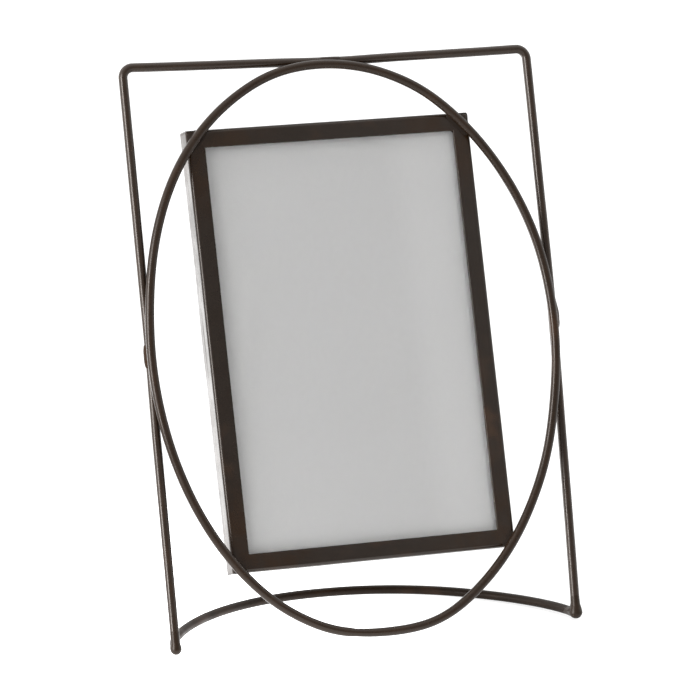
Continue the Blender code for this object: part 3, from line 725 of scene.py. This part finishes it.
# %% Helper for node networks
class Finish:
    """A material, or the world, while its nodes are being put together."""

    def __init__(self, name, kind="materials"):
        self.block = getattr(bpy.data, kind).new(name)
        self.block.use_nodes = True
        self.tree = self.block.node_tree
        self.shader = self.tree.nodes["Principled BSDF" if kind == "materials" else "Background"]

    def node(self, kind, settings=None, **inputs):
        made = self.tree.nodes.new(kind)
        for key, value in (settings or {}).items():
            setattr(made, key, value)
        for key, value in inputs.items():
            self.feed(made, key.replace("_", " "), value)
        return made

    def feed(self, node, key, value):
        socket = node.inputs[int(key)] if key.isdigit() else node.inputs[key]
        if isinstance(value, bpy.types.NodeSocket):
            self.tree.links.new(value, socket)
        else:
            socket.default_value = value

    def shade(self, **inputs):
        """Set inputs of the shader itself."""
        for key, value in inputs.items():
            self.feed(self.shader, key.replace("_", " "), value)

    def bump(self, height, strength, distance):
        made = self.node("ShaderNodeBump", Strength=strength, Distance=distance, Height=height)
        self.shade(Normal=made.outputs["Normal"])

    def attribute(self, name):
        return self.node("ShaderNodeAttribute", {"attribute_name": name}).outputs["Vector"]

    def object_place(self):
        return self.node("ShaderNodeTexCoord").outputs["Object"]

    def noise(self, vector, scale, detail=2.0, roughness=0.5):
        made = self.node(
            "ShaderNodeTexNoise", Scale=scale, Detail=detail, Roughness=roughness, Vector=vector
        )
        return made.outputs["Fac"]

    def spread(self, value, low, high, to_low=0.0, to_high=1.0):
        """Map a value from one range to another, smoothly and without leaving the range."""
        made = self.node("ShaderNodeMapRange", {"interpolation_type": "SMOOTHSTEP"}, Value=value)
        ends = {"From Min": low, "From Max": high, "To Min": to_low, "To Max": to_high}
        for key, number in ends.items():
            made.inputs[key].default_value = number
        return made.outputs["Result"]

    def mix(self, share, first, second):
        """Colour between the first and the second."""
        inputs = {"0": share, "6": first, "7": second}
        return self.node("ShaderNodeMix", {"data_type": "RGBA"}, **inputs).outputs[2]

    def vectors(self, operation, *values):
        inputs = {str(number): value for number, value in enumerate(values)}
        return self.node("ShaderNodeVectorMath", {"operation": operation}, **inputs).outputs

    def maths(self, operation, first, second):
        inputs = {"0": first, "1": second}
        return self.node("ShaderNodeMath", {"operation": operation}, **inputs).outputs[0]


# %% [markdown]
# ### Blackened bronze
#
# The wire and the rails carry the same finish: nearly black, with a little brown where it was
# rubbed or where the heat of brazing got to it, under clear lacquer. Looked at squarely the
# lacquer reflects a few hundredths of the light, and at a glancing angle nearly all of it, so
# the frame's side wall shines while its face stays dark. On the wires the rubbed brown runs in
# streaks along the wire. On the rails a brown heat tint fades away from the brazed corners. Every
# kind of piece gets its own shift of the noise, gloss and reflectance, because lacquer that is
# brushed on is thicker in some places than in others.
# The arc's ground is darker than on the other wires: painted shade for the dimmer light that the arc
# gets low on the table.

# %% Bronze for wires and sheet
# the second colour is the ground painted darker for the arc: painted shade for the dimmer light it gets
# low on the table
DARK, ARC_SHADED_DARK, BROWN = (0.0125, 0.0068, 0.0036), (0.0080, 0.0040, 0.0017), (0.029, 0.0140, 0.0065)
SHEET_DARK, HEAT = (0.0092, 0.0058, 0.0038), (0.0140, 0.0056, 0.0012)
BRAZED = ((FRAME_W - LIP_SIDE) / 2, (FRAME_H - LIP_END) / 2, 0.0)
HOT, COLD = 8 * MM, 36 * MM


def bronze(name, dark, amount, offset, streaks=False, heat=False, gloss=(0.20, 0.34), ior=1.46):
    """Dark ground, brown patches of the given amount, and gloss as the range of roughness."""
    f = Finish(name)
    place = f.object_place()
    moved = f.node("ShaderNodeMapping", Vector=place, Location=offset).outputs["Vector"]
    patch = f.spread(f.noise(moved, 38.0, 3.0, 0.6), 0.62 - 0.25 * amount, 0.80 - 0.20 * amount)
    if streaks:
        straight = f.attribute("straightened")
        stretched = f.node("ShaderNodeMapping", Vector=straight, Scale=(0.12, 1.0, 1.0))
        streak = f.spread(f.noise(stretched.outputs["Vector"], 900.0, 2.0, 0.5), 0.50, 0.72)
        patch = f.maths("ADD", f.maths("MULTIPLY", patch, 0.75), f.maths("MULTIPLY", streak, 0.30))
    speck = f.spread(f.noise(moved, 1400.0, 2.0, 0.6), 0.35, 0.75)
    ground = f.mix(f.maths("MULTIPLY", speck, 0.5), (*dark, 1), (*[1.7 * c for c in dark], 1))
    colour = f.mix(patch, ground, (*BROWN, 1))
    if heat:
        quarter = f.vectors("ABSOLUTE", f.attribute("seat"))["Vector"]
        off = f.vectors("DISTANCE", quarter, BRAZED)["Value"]
        warm = f.spread(off, HOT, COLD, 0.95, 0.0)
        warm = f.maths("MULTIPLY", warm, f.spread(f.noise(moved, 150.0), 0.35, 0.6, 0.35, 1.0))
        colour = f.mix(warm, colour, (*HEAT, 1))
    rough = f.spread(f.noise(moved, 160.0, 4.0, 0.6), 0.3, 0.7, *gloss)
    f.shade(Base_Color=colour, Roughness=rough, IOR=ior, Specular_Tint=(1.0, 0.93, 0.88, 1))
    f.bump(f.noise(moved, 900.0, 3.0, 0.55), 0.025, 0.04 * MM)
    return f.block


finishes = {
    "hoop": bronze("hoop_bronze", DARK, 0.35, (0.0, 0.0, 0.0), streaks=True),
    "ring": bronze("ring_bronze", DARK, 0.35, (0.21, 0.4, 0.1), streaks=True, ior=1.37),
    # painted shade: the arc's ground is darker than that of the other wires
    "arc": bronze(
        "arc_bronze", ARC_SHADED_DARK, 0.35, (0.4, 0.1, 0.7), streaks=True, gloss=(0.40, 0.54), ior=1.26
    ),
    "braze": bronze("braze_bronze", DARK, 0.6, (0.6, 0.2, 0.3), gloss=(0.28, 0.40), ior=1.32),
    "bead": bronze("bead_bronze", SHEET_DARK, 0.3, (0.7, 0.5, 0.6), gloss=(0.60, 0.75), ior=1.22),
}
RAILS = (
    ("ends", "end_rail_bronze", 0.15, (0.9, 0.3, 0.2), (0.14, 0.24), 1.46),
    ("left", "left_rail_bronze", 0.10, (0.3, 0.8, 0.5), (0.22, 0.33), 1.40),
    ("right", "right_rail_bronze", 0.15, (0.5, 0.6, 0.9), (0.16, 0.26), 1.46),
)
for key, name, amount, offset, gloss, ior in RAILS:
    finishes[key] = bronze(name, SHEET_DARK, amount, offset, heat=True, gloss=gloss, ior=ior)


def paint(item, material):
    item.data.materials.clear()
    item.data.materials.append(material)


for item, key in ((hoop, "hoop"), (ring, "ring"), (arc, "arc")):
    paint(item, finishes[key])
for item in feet + beads[1:]:
    paint(item, finishes["braze"])
for item in fillets + beads[:1]:
    paint(item, finishes["bead"])
for side, key in (("top", "ends"), ("bottom", "ends"), ("left", "left"), ("right", "right")):
    paint(rails[side], finishes[key])
print("bronze for", ", ".join(finishes))

# %% [markdown]
# ### Glass, card, board and steel
#
# The pane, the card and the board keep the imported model's shapes, which are flat sheets, and
# only get their finishes. The glass is real glass to the renderer, so it reflects the studio
# at both of its faces and shades the card a little. The board is dark fibreboard with a pressed
# grain, and the buttons and rivets are bright plated steel with fine brushing.

# %% Sheets and fittings
def glass():
    f = Finish("clear_glass")
    f.shade(Base_Color=(0.98, 0.985, 0.98, 1), Roughness=0.0, IOR=1.5, Transmission_Weight=1.0)
    return f.block


def card():
    f = Finish("grey_card")
    place = f.object_place()
    fibre = f.spread(f.noise(place, 700.0, 4.0, 0.6), 0.3, 0.7)
    grey = f.mix(fibre, (0.715, 0.705, 0.705, 1), (0.735, 0.725, 0.725, 1))
    f.shade(Base_Color=grey, Roughness=0.75)
    f.bump(f.noise(place, 2200.0, 3.0, 0.6), 0.08, 0.03 * MM)
    return f.block


def fibreboard():
    f = Finish("black_fibreboard")
    place = f.object_place()
    grain = f.noise(place, 1300.0, 4.0, 0.65)
    cloud = f.noise(place, 45.0, 3.0, 0.5)
    tone = f.maths("MULTIPLY", f.spread(grain, 0.3, 0.7, 0.4, 1.0), f.spread(cloud, 0.3, 0.7, 0.7, 1.0))
    black = f.mix(tone, (0.012, 0.011, 0.010, 1), (0.045, 0.040, 0.036, 1))
    f.shade(Base_Color=black, Roughness=0.78)
    f.bump(grain, 0.35, 0.1 * MM)
    return f.block


def steel(name, tint, lines):
    """Plated steel of a tint, brushed; lines is the scale of the brushing."""
    f = Finish(name)
    place = f.object_place()
    turned = f.node("ShaderNodeMapping", Vector=place, Scale=(1.0, 0.06, 0.06)).outputs["Vector"]
    brushed = f.noise(turned, lines, 3.0, 0.6)
    wear = f.noise(place, 420.0, 3.0, 0.6)
    worn = (*[0.72 * c for c in tint], 1)
    colour = f.mix(f.spread(wear, 0.45, 0.75), (*tint, 1), worn)
    rough = f.spread(brushed, 0.3, 0.7, 0.26, 0.42)
    f.shade(Base_Color=colour, Metallic=1.0, Roughness=rough)
    f.bump(brushed, 0.12, 0.03 * MM)
    return f.block


paint(nodes["glass_pane"], glass())
paint(nodes["photo_card"], card())
paint(nodes["backing_board"], fibreboard())
button_steel = steel("plated_spring_steel", (0.44, 0.41, 0.35), 2600.0)
rivet_steel = steel("plated_rivet_steel", (0.48, 0.46, 0.43), 2000.0)
for item in catches:
    paint(item, button_steel)
for item in rivets:
    paint(item, rivet_steel)
print("steel on", len(catches) + len(rivets), "fittings")

# %% [markdown]
# ## Studio
#
# The photograph shows the frame on pure white without shadows. Here it stands on pale acrylic
# that is lit from below, which fills the shadows. A long brighter patch of the acrylic, behind
# and to the left, makes the frame's side wall shine. The background is bright behind, brightest
# to the left like a window, and dark on the camera's side, which keeps the faces dark. A soft
# light stands to the front left, and a pale panel to the front right, which comes after the
# camera, shows as a faint band in the glass.

# %% Floor, background and lights
x, y = np.meshgrid(np.linspace(-4, 4, 9), np.linspace(-3, 5, 9), indexing="ij")
floor_mesh = bpy.data.meshes.new("studio_floor")
number = np.arange(81).reshape(9, 9)
quads = np.stack([number[:-1, :-1], number[1:, :-1], number[1:, 1:], number[:-1, 1:]], axis=-1)
ground = np.stack([x, y, 0 * x], axis=-1).reshape(-1, 3)
floor_mesh.from_pydata(ground.tolist(), [], quads.reshape(-1, 4).tolist())
floor = bpy.data.objects.new("studio_floor", floor_mesh)
bpy.context.scene.collection.objects.link(floor)
acrylic = Finish("lit_acrylic")
PATCH_AT, PATCH_TURN, PATCH_SIZE = (-0.305, 0.675, 0.0), np.radians(110.0), (0.98, 0.19, 1.0)
PATCH_GLOW, FLOOR_GLOW = 4.6, 0.70
WHITE = (1, 1, 1, 1)
patch = acrylic.node(
    "ShaderNodeMapping", {"vector_type": "TEXTURE"}, Vector=acrylic.object_place(),
    Location=PATCH_AT, Rotation=(0, 0, PATCH_TURN), Scale=PATCH_SIZE,
)
away = acrylic.vectors("LENGTH", patch.outputs["Vector"])["Value"]
brightness = acrylic.spread(away, 0.40, 1.0, PATCH_GLOW, FLOOR_GLOW)
acrylic.shade(Base_Color=(0.35, 0.35, 0.35, 1), Roughness=0.55)
acrylic.shade(Emission_Color=WHITE, Emission_Strength=brightness)
paint(floor, acrylic.block)

sky = Finish("studio", "worlds")
bpy.context.scene.world = sky.block
heading = sky.node("ShaderNodeTexCoord").outputs["Generated"]
BEHIND, REAR_RIGHT, LEFT = (0.0, 1.0, 0.0), (0.6, 0.8, 0.0), (-0.9, 0.43, 0.0)
along = [sky.vectors("DOT_PRODUCT", heading, way)["Value"] for way in (BEHIND, REAR_RIGHT, LEFT)]
front_to_back = sky.spread(along[0], -1.0, 0.0, 0.45, 1.75)
dimmed = sky.spread(along[1], 0.75, 0.95, 1.0, 0.55)
window = sky.spread(along[2], 0.5, 0.95, 0.0, 0.5)
strength = sky.maths("ADD", sky.maths("MULTIPLY", front_to_back, dimmed), window)
sky.shade(Color=WHITE, Strength=strength)


def soft_light(name, place, target, width, height, power):
    """Rectangle of light at a place in the room, turned towards a target."""
    lamp = bpy.data.lights.new(name, "AREA")
    lamp.shape = "RECTANGLE"
    lamp.size, lamp.size_y, lamp.energy = width, height, power
    item = bpy.data.objects.new(name, lamp)
    bpy.context.scene.collection.objects.link(item)
    item.location = place
    item.rotation_euler = aim_turn(place, target)
    return item


def aim_turn(place, target):
    """Turn that points an object's -Z from one place to another."""
    return (Vector(target) - Vector(place)).to_track_quat("-Z", "Y").to_euler()


middle = np.array([0.0, 0.0, 0.10])
softbox = middle + 1.3 * np.array([-0.925, -0.337, 0.174])
soft_light("front_left_softbox", softbox, middle, 0.45, 1.1, 24.0)
print("soft light at", np.round(softbox, 2))

# %% [markdown]
# ## Camera
#
# The camera stands 1.7 m away, 20.6 degrees to the left of the middle and 11.3 degrees up, and
# uses a long lens. These numbers come from fitting the edges of the frame, ring and wires. The
# focal length is in pixels of a picture that is 700 pixels wide.

# %% Camera
AZIMUTH, ELEVATION, ROLL = np.radians([20.6454, 11.2588, 0.1667])
DISTANCE, FOCAL, PICTURE, SENSOR = 1.6892, 4907.4364, 700, 36.0
level = np.array([np.sin(AZIMUTH), np.cos(AZIMUTH), 0.0])
looking = level * np.cos(ELEVATION) - UPRIGHT * np.sin(ELEVATION)
right = np.cross(looking, UPRIGHT)
right /= np.linalg.norm(right)
up = np.cross(right, looking)
right, up = right * np.cos(ROLL) + up * np.sin(ROLL), up * np.cos(ROLL) - right * np.sin(ROLL)
half_pixel = 0.5 * DISTANCE / FOCAL
aim = np.array([-12.106, -29.243, 103.00]) * MM - right * half_pixel + up * half_pixel

lens = bpy.data.cameras.new("camera")
lens.sensor_width = SENSOR
lens.lens = FOCAL / PICTURE * SENSOR
camera = bpy.data.objects.new("camera", lens)
bpy.context.scene.collection.objects.link(camera)
place = aim - DISTANCE * looking
columns = np.stack([right, up, -looking, place], axis=1)
camera.matrix_world = Matrix([*columns.tolist(), [0, 0, 0, 1]])
bpy.context.scene.camera = camera
print("camera at", np.round(place, 3), "with a", round(lens.lens, 1), "mm lens")

# %% [markdown]
# ### The pale panel in the glass
#
# To put a reflection where it belongs, the camera is mirrored in the pane. A straight line from
# the mirrored camera through a spot on the glass then meets whatever that spot reflects. Two
# such points make the line along which the panel turns bright, over 24 mm, so the band in the
# glass has a soft edge.

# %% Panel placed by mirroring the camera
BAND_UPPER, BAND_LOWER = (391, 110), (450, 560)
PANEL_AWAY, PANEL_MORE, PANEL_SOFT = 1.5, 0.03, 0.012
front = in_seat(0.0, 0.0, GLASS_FRONT)


def behind_pixel(px, py):
    """Where the line of sight through a pixel meets the front of the glass."""
    ray = looking + right * (px - PICTURE / 2) / FOCAL - up * (py - PICTURE / 2) / FOCAL
    return place + ray * ((front - place) @ OUT) / (ray @ OUT)


mirrored = place - 2 * ((place - front) @ OUT) * OUT
edge = []
for px, py in (BAND_UPPER, BAND_LOWER):
    spot = behind_pixel(px, py)
    ray = spot - mirrored
    edge.append(spot + ray / np.linalg.norm(ray) * PANEL_AWAY)
edge_low, edge_high = sorted(edge, key=lambda spot: spot[2])
print("panel edge from", np.round(edge_low, 3), "to", np.round(edge_high, 3))
stretch = edge_high - edge_low
wide = 0.085 * np.array([0.92, 0.38, 0.0])
sharp = wide - (wide @ stretch) / (stretch @ stretch) * stretch
sharp /= np.linalg.norm(sharp)
top, bottom = edge_high + 1.5 * stretch, edge_low - 0.3 * stretch
corners = [bottom - PANEL_MORE * sharp, bottom + wide, top + wide, top - PANEL_MORE * sharp]
panel_mesh = bpy.data.meshes.new("pale_panel")
panel_mesh.from_pydata([c.tolist() for c in corners], [], [[0, 1, 2, 3]])
panel = bpy.data.objects.new("pale_panel", panel_mesh)
bpy.context.scene.collection.objects.link(panel)

glow = Finish("panel_glow")
glow.shade(Base_Color=(0, 0, 0, 1), Specular_IOR_Level=0.0, Emission_Color=WHITE)
reach = glow.vectors("DOT_PRODUCT", glow.object_place(), tuple(sharp))["Value"]
start = float(edge_low @ sharp)
glow.shade(Emission_Strength=glow.spread(reach, start - PANEL_SOFT, start + PANEL_SOFT, 0.52, 1.0))
paint(panel, glow.block)

# %% [markdown]
# ## Colour
#
# The plain view transform shows the values as they are, as in the photograph.

# %% Finish
bpy.context.scene.view_settings.view_transform = "Standard"
bpy.context.scene.view_settings.look = "None"
